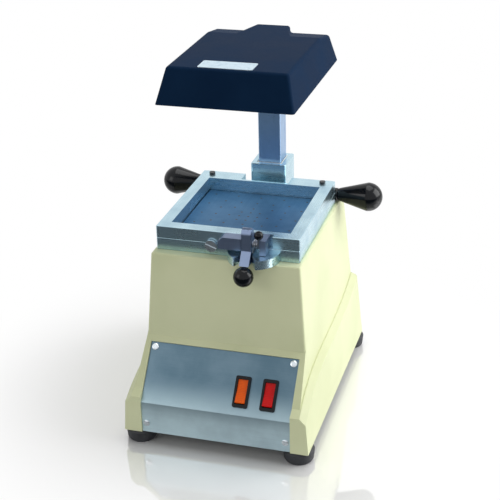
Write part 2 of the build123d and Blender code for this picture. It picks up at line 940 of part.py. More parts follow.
with BuildPart() as lower_frame:
    add(clamp_frame(lower_bottom))
    add(tongue.part)
    lug_outline = [
        (root_y, lower_bottom + side_gap),
        (root_y, lower_top - side_gap),
        (arm_y, arm_z + lug_radius),
        (arm_y, arm_z - lug_radius),
    ]
    add(swivel_lugs(lug_inner, lug_width, lug_outline))
    # notch around the collar
    with BuildSketch(Plane((0, post_y, lower_bottom))):
        Rectangle(2 * (collar_half + slit), 2 * (collar_half + slit))
    extrude(amount=bar, mode=Mode.SUBTRACT)
    add(rods([stop_plane], stop_shank + running, stop_length + 1), mode=Mode.SUBTRACT)
save(lower_frame.part, "lower_frame")

with BuildPart() as latch_keeper:
    # strip in the slot that the nose of the lever hooks under
    with BuildSketch(Plane((latch_x, frame_front - keeper_depth / 2, keeper_bottom))):
        Rectangle(lever_width + 2 * lever_play, keeper_depth)
    extrude(amount=keeper_top - keeper_bottom)
save(latch_keeper.part, "latch_keeper")

with BuildPart() as stop_screw:
    add(screws([stop_plane], stop_shank, stop_length, stop_radius, stop_head))
    with BuildSketch(stop_plane.offset(stop_head)):
        Rectangle(2 * stop_radius, stop_slot, rotation=-20)
    extrude(amount=-stop_slot, mode=Mode.SUBTRACT)
save(stop_screw.part, "stop_screw")

with BuildPart() as upper_frame:
    add(clamp_frame(upper_bottom))
    ear_outline = [
        (root_y, upper_bottom),
        (root_y, upper_top - frame_edge),
        (frame_rear + lug_root, upper_top - frame_edge),
        (arm_y + lug_radius * 0.8, arm_z + lug_radius * 0.6),
        (arm_y, arm_z),
        (arm_y - lug_radius, arm_z),
        (arm_y - lug_radius, upper_bottom),
    ]
    add(swivel_lugs(ear_inner, ear_width, ear_outline))
    # notch that swings past the collar, and pocket of the latch
    notch_length = frame_rear - opening_half - notch_web
    with BuildSketch(Plane((0, frame_rear - notch_length / 2, upper_bottom))):
        Rectangle(2 * notch_half, notch_length)
    extrude(amount=bar, mode=Mode.SUBTRACT)
    pocket_left = lever_left - lever_play
    with BuildSketch(Plane(((pocket_left + pocket_right) / 2, frame_front, upper_bottom))):
        Rectangle(pocket_right - pocket_left, 2 * pocket_depth)
    extrude(amount=bar, mode=Mode.SUBTRACT)
    add(rods(cap_screw_planes, cap_screw_radius + running, cap_screw_length + 1), mode=Mode.SUBTRACT)
    # sunk seats of the block screws and clearance around the stop screw
    add(rods(block_screw_planes, block_screw_radius + running, block_screw_length), mode=Mode.SUBTRACT)
    with Locations(*block_screw_planes):
        Cylinder(
            block_screw_head + running,
            2 * block_screw_head_height,
            align=(Align.CENTER, Align.CENTER, Align.MIN),
            mode=Mode.SUBTRACT,
        )
    with BuildSketch(stop_plane):
        Circle(stop_radius + side_gap)
    extrude(amount=-side_gap, mode=Mode.SUBTRACT)
save(upper_frame.part, "upper_frame")

corner_screws = screws(
    cap_screw_planes, cap_screw_radius, cap_screw_length, cap_screw_head, cap_screw_head_height
)
save(corner_screws, "corner_screws")

# ======== latch ========

pin_plane = Plane((block_right + block_right_width, pivot_y, pivot_z), z_dir=(1, 0, 0))
pin_length = block_right + block_right_width - block_left - side_gap
swing_plane = Plane((latch_x, 0, 0), x_dir=(0, 1, 0), z_dir=(1, 0, 0))

with BuildPart() as latch_block_left:
    width = lever_left - lever_play - block_left
    with BuildSketch(Plane((block_left + width / 2, frame_front - block_front / 2, upper_bottom))):
        Rectangle(width, block_front)
    extrude(amount=bar)
    chamfer(latch_block_left.faces().sort_by(Axis.X)[0].edges().sort_by(Axis.Z)[-1], block_bevel)
    add(rods([pin_plane], pivot_radius + running, pin_length + side_gap / 2), mode=Mode.SUBTRACT)
    add(rods(block_screw_planes, block_screw_radius + running, block_screw_length), mode=Mode.SUBTRACT)
save(latch_block_left.part, "latch_block_left")

with BuildPart() as latch_block_right:
    middle = block_right + block_right_width / 2
    with BuildSketch(Plane((middle, 0, 0), x_dir=(0, 1, 0), z_dir=(1, 0, 0))):
        with BuildLine():
            Polyline(
                (block_y, block_right_low),
                (block_y, upper_top),
                (pocket_floor, upper_top),
                (pocket_floor, upper_bottom),
                (frame_front - side_gap, upper_bottom),
                (frame_front - side_gap, block_right_low),
                close=True,
            )
        make_face()
    extrude(amount=block_right_width / 2, both=True)
    add(rods([pin_plane], pivot_radius + running, pin_length), mode=Mode.SUBTRACT)
    add(rods(block_screw_planes, block_screw_radius + running, block_screw_length), mode=Mode.SUBTRACT)
save(latch_block_right.part, "latch_block_right")

latch_block_screws = screws(
    block_screw_planes,
    block_screw_radius,
    block_screw_length - 1,
    block_screw_head,
    block_screw_head_height,
)
save(latch_block_screws, "latch_block_screws")
save(rods([pin_plane], pivot_radius, pin_length), "latch_pin")

stud_plane = Plane(
    (latch_x, knob_y, knob_z),
    z_dir=(0, sin(radians(knob_stud_lean)), cos(radians(knob_stud_lean))),
)
with BuildPart() as latch_lever:
    front = lever_rear - 2 * lever_half
    shoulder = lever_top - lever_half
    with BuildSketch(swing_plane):
        with BuildLine():
            ThreePointArc((lever_rear, shoulder), (lever_rear - lever_half, lever_top), (front, shoulder))
            Polyline(
                (front, shoulder),
                (front, lever_bend_z),
                (lever_foot_y, lever_foot_z),
                (heel_y, lever_foot_z),
                (nose_y, nose_low),
                (nose_y, nose_high),
                (throat_y, throat_z),
                (lever_rear, lever_bend_z),
                (lever_rear, shoulder),
            )
        make_face()
        with Locations((pivot_y, pivot_z)):
            Circle(pivot_radius + running, mode=Mode.SUBTRACT)
    extrude(amount=lever_width / 2, both=True)
    with Locations(stud_plane):
        Cylinder(knob_stud_radius, knob_stud_length, align=(Align.CENTER, Align.CENTER, Align.MIN))
save(latch_lever.part, "latch_lever")

with BuildPart() as latch_knob:
    with Locations((latch_x, knob_y, knob_z)):
        Sphere(knob_radius)
    with Locations(stud_plane.offset(-knob_hole_depth)):
        Cylinder(
            knob_stud_radius + running,
            2 * knob_radius,
            align=(Align.CENTER, Align.CENTER, Align.MIN),
            mode=Mode.SUBTRACT,
        )
save(latch_knob.part, "latch_knob")

leg_y = pivot_y - spring_radius
spring_length = spring_high - spring_low
spring_plane = Plane((spring_low, pivot_y, pivot_z), x_dir=(0, -1, 0), z_dir=(1, 0, 0))
coil = spring_plane * Helix(spring_length / spring_turns, spring_length, spring_radius, lefthand=True)
tip_plane = Plane(coil @ 1 + (coil % 1) * (tip_z - pivot_z), z_dir=coil % 1)
with BuildPart() as latch_spring:
    # torsion spring around the pin, one leg down beside the lever and one up to the ball
    with BuildLine() as spring_line:
        Line(coil @ 0 - (coil % 0) * spring_leg, coil @ 0)
        add(coil)
        Line(coil @ 1, tip_plane.origin)
    with BuildSketch(Plane(spring_line.wire() @ 0, z_dir=coil % 0)):
        Circle(spring_wire)
    sweep(path=spring_line.wire())
save(latch_spring.part, "latch_spring")

with BuildPart() as spring_tip:
    with Locations(tip_plane):
        Sphere(tip_radius)
    with BuildSketch(tip_plane):
        Circle(spring_wire + running)
    extrude(amount=-2 * tip_radius, mode=Mode.SUBTRACT)
save(spring_tip.part, "spring_tip")

# ======== heater head ========

def slab(outline, front_outline):
    # solid between a side outline in YZ and a front outline in XZ
    with BuildPart() as form:
        with BuildSketch(Plane.YZ):
            with BuildLine():
                Polyline(*outline, close=True)
            make_face()
        extrude(amount=2 * hood_half_width, both=True)
        with BuildSketch(Plane.XZ):
            with BuildLine():
                Polyline(*front_outline, close=True)
            make_face()
        extrude(amount=2 * hood_rear, both=True, mode=Mode.INTERSECT)
    return form.part


def hood_form(inset):
    # low pyramid with a sloping rear and a hump over the post, faces moved in by the inset
    low = hood_bottom - min(inset, 1)
    top = hood_top - inset
    hump = hump_top - inset
    with BuildPart() as form:
        add(
            slab(
                [
                    (hood_front + inset, low),
                    (hood_top_front + inset, top),
                    (hood_top_rear, top),
                    (hood_bevel_y - inset, top - hood_bevel_drop),
                    (hood_rear - inset, low),
                ],
                [
                    (inset - hood_half_width, low),
                    (inset - hood_top_half_width, top),
                    (hood_top_half_width - inset, top),
                    (hood_half_width - inset, low),
                ],
            )
        )
        if not inset:
            fillet(form.edges().filter_by(lambda edge: edge.center().Z > low + 1), hood_edge)
        add(
            slab(
                [
                    (hump_front + inset, low),
                    (hump_front + inset, hump),
                    (hump_top_rear - inset, hump),
                    (hood_rear - inset, low),
                ],
                [
                    (inset - hump_half, low),
                    (inset - hump_top_half, hump),
                    (hump_top_half - inset, hump),
                    (hump_half - inset, low),
                ],
            )
        )
    return form.part


hood_inside = hood_form(hood_wall)
with BuildPart() as hood:
    add(hood_form(0))
    add(hood_inside, mode=Mode.SUBTRACT)
save(hood.part, "hood")

with BuildPart() as head_hub:
    # bearing block that fills the hump and turns on the spindle
    with BuildSketch(Plane((0, (hub_front + hood_rear) / 2, hub_bottom))):
        Rectangle(2 * hub_half, hood_rear - hub_front)
    extrude(amount=hub_top - hub_bottom)
    add(hood_inside, mode=Mode.INTERSECT)
    with BuildSketch(Plane((0, post_y, hub_bottom))):
        Circle(spindle_radius + running)
    extrude(amount=hub_top - hub_bottom, mode=Mode.SUBTRACT)
save(head_hub.part, "head_hub")

pan_middle = (pan_front + pan_rear) / 2
pan_half_length = (pan_rear - pan_front) / 2
pan_under = pan_top - pan_sheet
with BuildPart() as reflector_pan:
    # shallow tray, open below, with a flat rim
    with BuildSketch(Plane((0, pan_middle, pan_bottom))):
        RectangleRounded(2 * pan_half_width, 2 * pan_half_length, pan_corner)
    extrude(amount=pan_top - pan_bottom)
    with BuildSketch(Plane((0, pan_middle, pan_bottom))):
        RectangleRounded(2 * (pan_half_width + pan_rim), 2 * (pan_half_length + pan_rim), pan_corner + pan_rim)
    extrude(amount=pan_sheet)
    with BuildSketch(Plane((0, pan_middle, pan_bottom))):
        RectangleRounded(
            2 * (pan_half_width - pan_sheet), 2 * (pan_half_length - pan_sheet), pan_corner - pan_sheet
        )
    extrude(amount=pan_under - pan_bottom, mode=Mode.SUBTRACT)
save(reflector_pan.part, "reflector_pan")

with BuildPart() as pan_standoffs:
    with BuildSketch(Plane((0, pan_middle, pan_top))):
        with GridLocations(2 * standoff_x, 2 * standoff_y, 2, 2):
            Circle(standoff_radius)
    extrude(amount=hood_top - hood_wall - pan_top)
save(pan_standoffs.part, "pan_standoffs")

board_bottom = pan_under - board_sheet
board_inset = pan_sheet + slit
with BuildPart() as ceramic_board:
    with BuildSketch(Plane((0, pan_middle, board_bottom))):
        RectangleRounded(
            2 * (pan_half_width - board_inset), 2 * (pan_half_length - board_inset), pan_corner
        )
    extrude(amount=board_sheet)
save(ceramic_board.part, "ceramic_board")

element_places = [element_pitch * (run - (element_runs - 1) / 2) for run in range(element_runs)]
with BuildPart() as element_supports:
    for row in (-1, 0, 1):
        with BuildSketch(Plane.XZ.offset(-pan_middle - row * strip_spacing)):
            with Locations((0, (strip_low + board_bottom) / 2)):
                Rectangle(element_runs * element_pitch, board_bottom - strip_low)
            with Locations(*[(x, element_z) for x in element_places]):
                Circle(element_radius + running, mode=Mode.SUBTRACT)
        extrude(amount=strip_sheet / 2, both=True)
save(element_supports.part, "element_supports")

with BuildPart() as heater_element:
    # one rod bent into long runs
    turn = element_pitch / 2
    with BuildLine(Plane.XY.offset(element_z)) as route:
        for run, x in enumerate(element_places):
            near = element_end if run == 0 else element_reach
            far = element_end if run == element_runs - 1 else element_reach
            ahead = 1 if run % 2 else -1
            behind = near if run % 2 == 0 else -near
            Line((x, pan_middle + behind), (x, pan_middle + ahead * far))
            if run < element_runs - 1:
                bend_y = pan_middle + ahead * element_reach
                ThreePointArc((x, bend_y), (x + turn, bend_y + ahead * turn), (x + 2 * turn, bend_y))
    with BuildSketch(Plane(route.line @ 0, z_dir=route.line % 0)):
        Circle(element_radius)
    sweep(path=route.line)
save(heater_element.part, "heater_element")

with BuildPart() as hood_plate:
    with BuildSketch(Plane((hood_plate_x, hood_plate_y, hood_top))):
        RectangleRounded(hood_plate_length, hood_plate_width, edge_radius)
    extrude(amount=hood_plate_sheet)
save(hood_plate.part, "hood_plate")

# ======== vacuum platform ========

chamber_half = platform_half - chamber_wall
with BuildPart() as platform:
    with BuildSketch(Plane.XY.offset(tower_top)):
        Rectangle(2 * platform_half, 2 * platform_half)
    extrude(amount=platform_top - tower_top)
    with BuildSketch(Plane.XY.offset(tower_top + platform_floor)):
        Rectangle(2 * chamber_half, 2 * chamber_half)
    extrude(amount=platform_top - tower_top, mode=Mode.SUBTRACT)
    with BuildSketch(Plane.XY.offset(tower_top + platform_floor)):
        with GridLocations(2 * pillar_place, 2 * pillar_place, 2, 2):
            Circle(pillar_radius)
    extrude(amount=plate_bottom - tower_top - platform_floor)
    with BuildSketch(Plane.XY.offset(tower_top)):
        Circle(port_radius)
    extrude(amount=platform_floor, mode=Mode.SUBTRACT)
save(platform.part, "platform")

with BuildPart() as plate_gasket:
    with BuildSketch(Plane.XY.offset(platform_top)):
        Rectangle(2 * platform_half, 2 * platform_half)
        Rectangle(2 * chamber_half, 2 * chamber_half, mode=Mode.SUBTRACT)
    extrude(amount=plate_bottom - platform_top)
save(plate_gasket.part, "plate_gasket")

hole_places = [-place for place in hole_lines] + hole_lines
with BuildPart() as perforated_plate:
    with BuildSketch(Plane.XY.offset(plate_bottom)):
        Rectangle(2 * platform_half, 2 * platform_half)
        with Locations(*[(x, y) for x in hole_places for y in hole_places]):
            Circle(hole_radius, mode=Mode.SUBTRACT)
    extrude(amount=plate_sheet)
save(perforated_plate.part, "perforated_plate")

with BuildPart() as suction_tube:
    with BuildSketch(Plane.XY.offset(motor_top)):
        Circle(port_radius + hose_wall)
        Circle(port_radius, mode=Mode.SUBTRACT)
    extrude(amount=tower_top - motor_top)
save(suction_tube.part, "suction_tube")

# ======== vacuum motor ========

can_bore = motor_radius - motor_wall
with BuildPart() as motor_can:
    with BuildSketch(Plane.XY.offset(motor_bottom + motor_wall)):
        Circle(motor_radius)
    extrude(amount=motor_top - motor_bottom - motor_wall)
    fillet(motor_can.faces().sort_by(Axis.Z)[-1].edges(), corner_radius)
    with BuildSketch(Plane.XY.offset(motor_bottom + motor_wall)):
        Circle(can_bore)
    extrude(amount=motor_top - motor_bottom - 2 * motor_wall, mode=Mode.SUBTRACT)
    with BuildSketch(Plane.XY.offset(motor_top)):
        Circle(port_radius)
    extrude(amount=-2 * motor_wall, mode=Mode.SUBTRACT)
    # air outlets under the fan
    with BuildSketch(Plane.XZ):
        with Locations((0, (motor_bottom + spider_z) / 2)):
            SlotOverall(vent_length / 2, vent_width, rotation=90)
    extrude(amount=2 * motor_radius, both=True, mode=Mode.SUBTRACT)
save(motor_can.part, "motor_can")

with BuildPart() as motor_base:
    # end plate with the lower bearing's boss
    with BuildSketch(Plane.XY.offset(motor_bottom)):
        Circle(motor_radius)
    extrude(amount=motor_wall)
    with BuildSketch(Plane.XY.offset(motor_bottom + motor_wall)):
        Circle(bearing_radius + motor_wall)
        Circle(bearing_radius + running, mode=Mode.SUBTRACT)
    extrude(amount=bearing_height)
save(motor_base.part, "motor_base")

with BuildPart() as motor_spider:
    # upper bearing carrier between windings and fan
    with BuildSketch(Plane.XY.offset(spider_z)):
        Circle(can_bore - running)
        with PolarLocations((bearing_radius + can_bore) / 2 + motor_wall / 2, 4):
            Circle((can_bore - bearing_radius) / 2 - motor_wall, mode=Mode.SUBTRACT)
    extrude(amount=motor_wall)
    with BuildSketch(Plane.XY.offset(spider_z)):
        Circle(bearing_radius + motor_wall)
    extrude(amount=bearing_height)
    with BuildSketch(Plane.XY.offset(spider_z)):
        Circle(bearing_radius + running)
    extrude(amount=bearing_height, mode=Mode.SUBTRACT)
save(motor_spider.part, "motor_spider")

with BuildPart() as motor_bearings:
    for low in (motor_bottom + motor_wall, spider_z):
        with BuildSketch(Plane.XY.offset(low)):
            Circle(bearing_radius)
            Circle(shaft_radius + running, mode=Mode.SUBTRACT)
        extrude(amount=bearing_height)
save(motor_bearings.part, "motor_bearings")

with BuildPart() as motor_stator:
    with BuildSketch(Plane.XY.offset(rotor_low)):
        Circle(can_bore - running)
        Circle(rotor_radius + air_gap, mode=Mode.SUBTRACT)
        with PolarLocations(rotor_radius + air_gap + can_bore / 4, 6):
            Circle(can_bore / 8, mode=Mode.SUBTRACT)
    extrude(amount=rotor_height)
save(motor_stator.part, "motor_stator")

with BuildPart() as motor_rotor:
    # shaft, core and fan with curved blades between two discs
    with BuildSketch(Plane.XY.offset(motor_bottom + motor_wall + slit)):
        Circle(shaft_radius)
    extrude(amount=fan_low + fan_height - motor_bottom - motor_wall - slit)
    with BuildSketch(Plane.XY.offset(rotor_low)):
        Circle(rotor_radius)
    extrude(amount=rotor_height)
    with BuildSketch(Plane.XY.offset(fan_low)):
        Circle(fan_radius)
    extrude(amount=fan_sheet)
    with BuildSketch(Plane.XY.offset(fan_low + fan_sheet)):
        with PolarLocations(0, fan_blades):
            with BuildLine():
                RadiusArc((shaft_radius - 1, 0), (fan_radius - 1, 0), fan_radius)
                RadiusArc((fan_radius - 1, fan_sheet), (shaft_radius - 1, fan_sheet), -fan_radius)
                Line((fan_radius - 1, 0), (fan_radius - 1, fan_sheet))
                Line((shaft_radius - 1, 0), (shaft_radius - 1, fan_sheet))
            make_face()
    extrude(amount=fan_height - 2 * fan_sheet)
    with BuildSketch(Plane.XY.offset(fan_low + fan_height - fan_sheet)):
        Circle(fan_radius)
        Circle(port_radius, mode=Mode.SUBTRACT)
    extrude(amount=fan_sheet)
save(motor_rotor.part, "motor_rotor")

with BuildPart() as motor_bracket:
    # folded stand under the motor
    outer = bracket_half + bracket_foot
    inner = bracket_half - bracket_sheet
    with BuildSketch(Plane.XZ):
        with BuildLine():
            Polyline(
                (-outer, floor_top),
                (-inner, floor_top),
                (-inner, motor_bottom - bracket_sheet),
                (inner, motor_bottom - bracket_sheet),
                (inner, floor_top),
                (outer, floor_top),
                (outer, floor_top + bracket_sheet),
                (bracket_half, floor_top + bracket_sheet),
                (bracket_half, motor_bottom),
                (-bracket_half, motor_bottom),
                (-bracket_half, floor_top + bracket_sheet),
                (-outer, floor_top + bracket_sheet),
                close=True,
            )
        make_face()
    extrude(amount=bracket_depth, both=True)
    bracket_holes = rods(bracket_screw_planes, machine_screw_radius + running, 2 * bracket_sheet)
    add(bracket_holes, mode=Mode.SUBTRACT)
save(motor_bracket.part, "motor_bracket")

bracket_screws = screws(
    bracket_screw_planes,
    machine_screw_radius,
    bracket_sheet + bottom_sheet,
    machine_screw_head,
    machine_screw_head_height,
)
save(bracket_screws, "bracket_screws")
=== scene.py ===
import json
import math

import bmesh
import bpy
import numpy as np
from mathutils import Matrix, Vector


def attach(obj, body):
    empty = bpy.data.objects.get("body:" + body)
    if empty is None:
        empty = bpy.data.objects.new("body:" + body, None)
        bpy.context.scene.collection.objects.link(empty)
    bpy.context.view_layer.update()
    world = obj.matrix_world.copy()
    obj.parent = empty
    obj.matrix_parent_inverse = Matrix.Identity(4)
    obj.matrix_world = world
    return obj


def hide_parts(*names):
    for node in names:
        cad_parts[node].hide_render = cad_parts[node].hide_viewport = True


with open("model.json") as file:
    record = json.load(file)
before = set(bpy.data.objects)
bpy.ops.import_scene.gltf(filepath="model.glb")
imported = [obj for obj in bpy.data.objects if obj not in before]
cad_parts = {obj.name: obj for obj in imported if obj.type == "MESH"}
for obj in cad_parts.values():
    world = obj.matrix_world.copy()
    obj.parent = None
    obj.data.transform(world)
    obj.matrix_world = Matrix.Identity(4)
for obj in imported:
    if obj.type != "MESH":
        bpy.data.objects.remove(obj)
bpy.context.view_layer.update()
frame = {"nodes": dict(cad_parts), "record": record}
nodes = frame["nodes"]
print("frame loaded,", len(nodes), "nodes")


# small helpers

class Wire:
    # an output socket of a node tree; arithmetic on it adds Math nodes
    def __init__(self, finish, socket):
        self.finish, self.socket = finish, socket

    def beside(self, output):
        # another output of the same node
        return Wire(self.finish, self.socket.node.outputs[output])

    def __add__(self, other):
        return self.finish.maths("ADD", self, other)

    def __sub__(self, other):
        return self.finish.maths("SUBTRACT", self, other)

    def __rsub__(self, other):
        return self.finish.maths("SUBTRACT", other, self)

    def __mul__(self, other):
        return self.finish.maths("MULTIPLY", self, other)

    def __gt__(self, other):
        return self.finish.maths("GREATER_THAN", self, other)

    __radd__ = __add__


class Finish:
    # a material, or the world, made node by node
    def __init__(self, name, kind="materials"):
        self.owner = getattr(bpy.data, kind).new(name)
        self.owner.use_nodes = True
        self.tree = self.owner.node_tree
        self.tree.nodes.clear()

    def add(self, kind, settings=None, inputs=None, output=0):
        # a node of any type: its settings first, then the values or links of its sockets
        node = self.tree.nodes.new(kind)
        for key, value in (settings or {}).items():
            setattr(node, key, value)
        for key, value in (inputs or {}).items():
            if isinstance(value, Wire):
                self.tree.links.new(value.socket, node.inputs[key])
            else:
                node.inputs[key].default_value = value
        return Wire(self, node.outputs[output])

    def maths(self, operation, *terms):
        return self.add("ShaderNodeMath", {"operation": operation}, dict(enumerate(terms)))

    def place(self, scale=(1, 1, 1), turn=(0, 0, 0)):
        # object coordinates in metres, turned and stretched
        point = self.add("ShaderNodeTexCoord", output="Object")
        return self.add("ShaderNodeMapping",
                        inputs={"Vector": point, "Scale": scale, "Rotation": turn})

    def axes(self):
        # the three object coordinates as numbers
        point = self.add("ShaderNodeTexCoord", output="Object")
        first = self.add("ShaderNodeSeparateXYZ", inputs={0: point})
        return [first.beside(k) for k in range(3)]

    def noise(self, vector, scale, detail=3.0, roughness=0.5):
        return self.add("ShaderNodeTexNoise", inputs={"Vector": vector, "Scale": scale,
                                                      "Detail": detail, "Roughness": roughness})

    def ramp(self, value, low, high):
        # 0 below low, 1 above high, smooth between
        return self.add("ShaderNodeMapRange", {"interpolation_type": "SMOOTHSTEP"},
                        {0: value, 1: low, 2: high})

    def blend(self, mask, first, second):
        # first where mask is 0, second where it is 1
        return self.add("ShaderNodeMix", {"data_type": "RGBA"}, {0: mask, 6: first, 7: second}, 2)

    def bump(self, height, strength, distance):
        return self.add("ShaderNodeBump", output="Normal",
                        inputs={"Height": height, "Strength": strength, "Distance": distance})

    def close(self, surface, end="ShaderNodeOutputMaterial"):
        last = self.tree.nodes.new(end)
        self.tree.links.new(surface.socket, last.inputs["Surface"])
        return self.owner

    def shell(self, **sockets):
        # the surface itself; an underscore in a name stands for a space
        inputs = {key.replace("_", " "): value for key, value in sockets.items()}
        return self.close(self.add("ShaderNodeBsdfPrincipled", inputs=inputs))


def rgb(red, green, blue):
    return (red, green, blue, 1.0)


def linked(name, data):
    # an object for a mesh, a lamp or a camera, in the scene
    piece = bpy.data.objects.new(name, data)
    bpy.context.scene.collection.objects.link(piece)
    return piece


def meshPiece(name, points, faces, material):
    mesh = bpy.data.meshes.new(name)
    mesh.from_pydata(points, [], faces)
    mesh.validate()
    mesh.materials.append(material)
    return linked(name, mesh)


# finishes, one function each, with the values that a user would change: the higher a number for
# clouds, grain, peel or the like, the finer it is, and an edge is where it starts and is full

housingLook = {"colour": rgb(0.66, 0.69, 0.44), "deep": rgb(0.56, 0.60, 0.35), "roughness": 0.42,
               "clouds": 9, "cloudEdge": (0.35, 0.7), "grain": 1400, "waves": 34,
               "grainDepth": 0.00004, "scuffs": (30, 30, 160), "scuffEdge": (0.62, 0.74)}


def housingFinish(look=housingLook):
    # moulded cream plastic: broad faint clouds of colour and a fine pebbled grain
    f = Finish("housingPlastic")
    point = f.place()
    clouds = f.ramp(f.noise(point, look["clouds"], 4), *look["cloudEdge"])
    grain = f.noise(point, look["grain"], 2)
    waves = f.noise(point, look["waves"], 2)
    scuffs = f.ramp(f.noise(f.place(look["scuffs"]), 3, 6, 0.7), *look["scuffEdge"])
    tone = f.blend(clouds * 0.7, look["colour"], look["deep"])
    return f.shell(Base_Color=tone, Roughness=look["roughness"] + grain * 0.12 + scuffs * 0.10,
                   Normal=f.bump(grain * 0.6 + waves * 2.5, 0.5, look["grainDepth"]),
                   Specular_IOR_Level=0.45)


brushedLook = {"lines": 1500, "alongLines": 7, "lineDepth": 0.00003, "clouds": 26,
               "cloudEdge": (0.35, 0.75), "scratches": (60, 220, 90),
               "scratchTurn": (0.3, 0.2, 0.9), "scratchEdge": (0.66, 0.72)}


def brushed(name, colour, dark, along, roughness, look=brushedLook):
    # brushed metal: fine lines along one axis, or along the bars of a square frame
    f = Finish(name)
    fine, long = look["lines"], look["alongLines"]
    stretch = {"x": (long, fine, fine), "y": (fine, long, fine), "z": (fine, fine, long)}
    if along == "frame":
        x, y, z = f.axes()
        side = f.maths("ABSOLUTE", x) > f.maths("ABSOLUTE", y)
        run = f.noise(f.place(stretch["x"]), 1, 2)
        cross = f.noise(f.place(stretch["y"]), 1, 2)
        streaks = run * (1 - side) + cross * side
    else:
        streaks = f.noise(f.place(stretch[along]), 1, 2)
    clouds = f.ramp(f.noise(f.place(), look["clouds"], 5, 0.6), *look["cloudEdge"])
    scratches = f.ramp(f.noise(f.place(look["scratches"], look["scratchTurn"]), 4, 3, 0.8),
                       *look["scratchEdge"])
    return f.shell(Base_Color=f.blend(clouds * 0.35 + streaks * 0.25, colour, dark), Metallic=1.0,
                   Roughness=roughness + streaks * 0.16 + clouds * 0.08 - scratches * 0.05,
                   Normal=f.bump(streaks + scratches * 0.5, 0.35, look["lineDepth"]))


# the lower edge's colour and the slope's colour are lit and shaded copies of one brushed sheet:
# painted light and painted shade
panelLook = {"lowLitColour": rgb(0.58, 0.76, 0.82), "slopeShadeColour": rgb(0.075, 0.135, 0.18),
             "streakColour": rgb(0.20, 0.28, 0.34), "slopeShadeEdge": (0.030, 0.075),
             "lowMetal": 0.45, "slopeMetal": 0.55, "roughness": 0.24, "lines": (7, 1500, 1500),
             "lineDepth": 0.00003, "clouds": 18, "cloudEdge": (0.35, 0.75)}


def panelFinish(look=panelLook):
    # brushed sheet of the control panel, with painted shade: darker and bluer on the slope than on
    # its lower edge, where one sheet lies at two angles to the light
    f = Finish("consoleMetal")
    streaks = f.noise(f.place(look["lines"]), 1, 2)
    clouds = f.ramp(f.noise(f.place(), look["clouds"], 5, 0.6), *look["cloudEdge"])
    # painted shade: above the edge height the sheet takes a darker, bluer colour and more metal, a
    # shaded copy of the lit lower edge
    slope = f.ramp(f.axes()[2], *look["slopeShadeEdge"])
    tone = f.blend(slope, look["lowLitColour"], look["slopeShadeColour"])
    return f.shell(Base_Color=f.blend(clouds * 0.35 + streaks * 0.2, tone, look["streakColour"]),
                   Metallic=look["lowMetal"] + slope * look["slopeMetal"],
                   Roughness=look["roughness"] + streaks * 0.16 + clouds * 0.08,
                   Normal=f.bump(streaks, 0.35, look["lineDepth"]))


glossLook = {"colour": rgb(0.002, 0.003, 0.005), "dustColour": rgb(0.02, 0.025, 0.03),
             "roughness": 0.14, "shine": 0.25, "peel": 160, "peelDepth": 0.0001, "dust": 900,
             "dustEdge": (0.66, 0.78)}


def glossBlack(look=glossLook):
    # moulded thermoset, glossy, with a faint orange peel and fine dust
    f = Finish("blackGloss")
    point = f.place()
    peel = f.noise(point, look["peel"], 2)
    dust = f.ramp(f.noise(point, look["dust"], 2, 0.7), *look["dustEdge"])
    return f.shell(Base_Color=f.blend(dust * 0.25, look["colour"], look["dustColour"]),
                   Roughness=look["roughness"] + dust * 0.25 + peel * 0.05,
                   Specular_IOR_Level=look["shine"], Normal=f.bump(peel, 0.25, look["peelDepth"]))


hoodPaintLook = {"colour": rgb(0.003, 0.014, 0.040), "pale": rgb(0.006, 0.024, 0.062),
                 "roughness": 0.42, "shine": 0.02, "peel": 420, "peelDepth": 0.00006,
                 "clouds": 14, "cloudEdge": (0.3, 0.75)}


def hoodPaint(look=hoodPaintLook):
    # dark semi-gloss paint on pressed metal
    f = Finish("hoodPaint")
    point = f.place()
    peel = f.noise(point, look["peel"], 3)
    clouds = f.ramp(f.noise(point, look["clouds"], 4), *look["cloudEdge"])
    return f.shell(Base_Color=f.blend(clouds * 0.5, look["colour"], look["pale"]),
                   Roughness=look["roughness"] + clouds * 0.10 + peel * 0.08,
                   Specular_IOR_Level=look["shine"], Normal=f.bump(peel, 0.35, look["peelDepth"]))


# the glow value is a painted glow: emission strength of the lens, with no lamp inside it
lensLook = {"ribs": 260.0, "ribWaver": 0.6, "ribDepth": 0.0001, "mottle": 300,
            "roughness": 0.26, "shine": 0.25, "paintedGlow": 0.10}


def lensPlastic(name, colour, deep, look=lensLook):
    # translucent rocker with a ribbed core that shows through the gloss, and a faint painted glow
    # of its own colour
    f = Finish(name)
    ribs = f.add("ShaderNodeTexWave", {"wave_type": "BANDS", "bands_direction": "Z"},
                 {"Vector": f.place(), "Scale": look["ribs"], "Distortion": look["ribWaver"]})
    mottle = f.noise(f.place(), look["mottle"], 3)
    tone = f.blend(ribs * 0.35 + mottle * 0.4, colour, deep)
    # painted glow: the lens emits faintly in its own colour
    return f.shell(Base_Color=tone, Roughness=look["roughness"] + mottle * 0.12,
                   Specular_IOR_Level=look["shine"], Emission_Color=tone,
                   Emission_Strength=look["paintedGlow"], Normal=f.bump(ribs, 0.15, look["ribDepth"]))


rubberLook = {"roughness": 0.55, "bloom": 60, "bloomEdge": (0.42, 0.8), "grain": 1100,
              "grainDepth": 0.00008}


def plainRubber(name, colour, pale, look=rubberLook):
    # moulded rubber with a dusty bloom
    f = Finish(name)
    point = f.place()
    bloom = f.ramp(f.noise(point, look["bloom"], 5, 0.65), *look["bloomEdge"])
    grain = f.noise(point, look["grain"], 2)
    return f.shell(Base_Color=f.blend(bloom * 0.6, colour, pale),
                   Roughness=look["roughness"] + bloom * 0.25,
                   Normal=f.bump(grain, 0.5, look["grainDepth"]))


paintLook = {"peel": 520, "peelDepth": 0.00006, "wear": 45, "wearEdge": (0.6, 0.78)}


